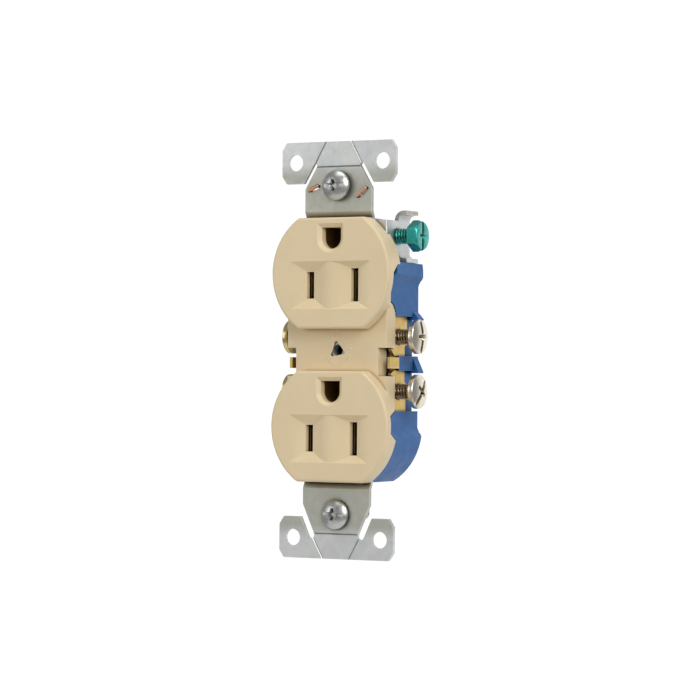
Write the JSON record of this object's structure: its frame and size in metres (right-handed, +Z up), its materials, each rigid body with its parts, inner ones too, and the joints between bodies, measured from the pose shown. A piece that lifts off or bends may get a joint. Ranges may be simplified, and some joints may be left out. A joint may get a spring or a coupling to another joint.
{
  "type": "duplex wall outlet",
  "caption": "Duplex grounding wall outlet: ivory plug faces on a blue body with side terminal screws, a grounding screw and a steel mounting strap with break-off ears.",
  "frame": {"origin": "centre of the four ear holes on the mounting strap's front plane, midway between the two box screws", "axes": "+X right as seen from the room, +Y back into the wall box, +Z up, towards the ear end beside the green ground screw"},
  "size_m": [0.0395, 0.0211, 0.106],
  "materials": {
    "ivory_plastic": "satin moulded thermoplastic",
    "blue_plastic": "matte moulded thermoplastic",
    "galvanised_steel": "galvanised, faint spangle",
    "brass": "stamped, slightly dull",
    "brass_screw": "plated",
    "nickel": "nickel plated, bright",
    "green_steel": "green chromate, glossy",
    "zinc_steel": "zinc plated",
    "fibre": "vulcanised fibre",
    "copper": "bare copper wire",
    "spring_steel": "bright strip"
  },
  "bodies": {
    "housing": {"front_cover": "ivory_plastic", "back_body": "blue_plastic", "mounting_strap": "galvanised_steel", "neutral_bus": "brass", "hot_bus": "brass", "ground_contact_upper": "brass", "ground_contact_lower": "brass", "ground_rivet_upper": "zinc_steel", "ground_rivet_lower": "zinc_steel", "screw_retainer_upper": "fibre", "screw_retainer_lower": "fibre", "self_ground_clip": "copper", "push_clip_neutral_upper": "spring_steel", "push_clip_neutral_lower": "spring_steel", "push_clip_hot_upper": "spring_steel", "push_clip_hot_lower": "spring_steel"},
    "neutral_screw_upper_body": {"neutral_screw_upper": "nickel"},
    "neutral_screw_lower_body": {"neutral_screw_lower": "nickel"},
    "hot_screw_upper_body": {"hot_screw_upper": "brass_screw"},
    "hot_screw_lower_body": {"hot_screw_lower": "brass_screw"},
    "ground_screw_body": {"ground_screw": "green_steel"},
    "mounting_screw_upper_body": {"mounting_screw_upper": "zinc_steel"},
    "mounting_screw_lower_body": {"mounting_screw_lower": "zinc_steel"}
  },
  "joints": [
    {"name": "neutral_screw_upper_travel", "type": "slide", "parent": "housing", "child": "neutral_screw_upper_body", "axis": [-1, 0, 0], "range_m": [0, 0.004]},
    {"name": "neutral_screw_lower_travel", "type": "slide", "parent": "housing", "child": "neutral_screw_lower_body", "axis": [-1, 0, 0], "range_m": [0, 0.004]},
    {"name": "hot_screw_upper_travel", "type": "slide", "parent": "housing", "child": "hot_screw_upper_body", "axis": [1, 0, 0], "range_m": [-0.0019, 0.0021]},
    {"name": "hot_screw_lower_travel", "type": "slide", "parent": "housing", "child": "hot_screw_lower_body", "axis": [1, 0, 0], "range_m": [-0.0019, 0.0021]},
    {"name": "ground_screw_travel", "type": "slide", "parent": "housing", "child": "ground_screw_body", "axis": [-1, 0, 0], "range_m": [0, 0.004]},
    {"name": "mounting_screw_upper_travel", "type": "slide", "parent": "housing", "child": "mounting_screw_upper_body", "axis": [0, 1, 0], "range_m": [-0.01, 0.0009]},
    {"name": "mounting_screw_lower_travel", "type": "slide", "parent": "housing", "child": "mounting_screw_lower_body", "axis": [0, 1, 0], "range_m": [-0.01, 0.0001]}
  ]
}
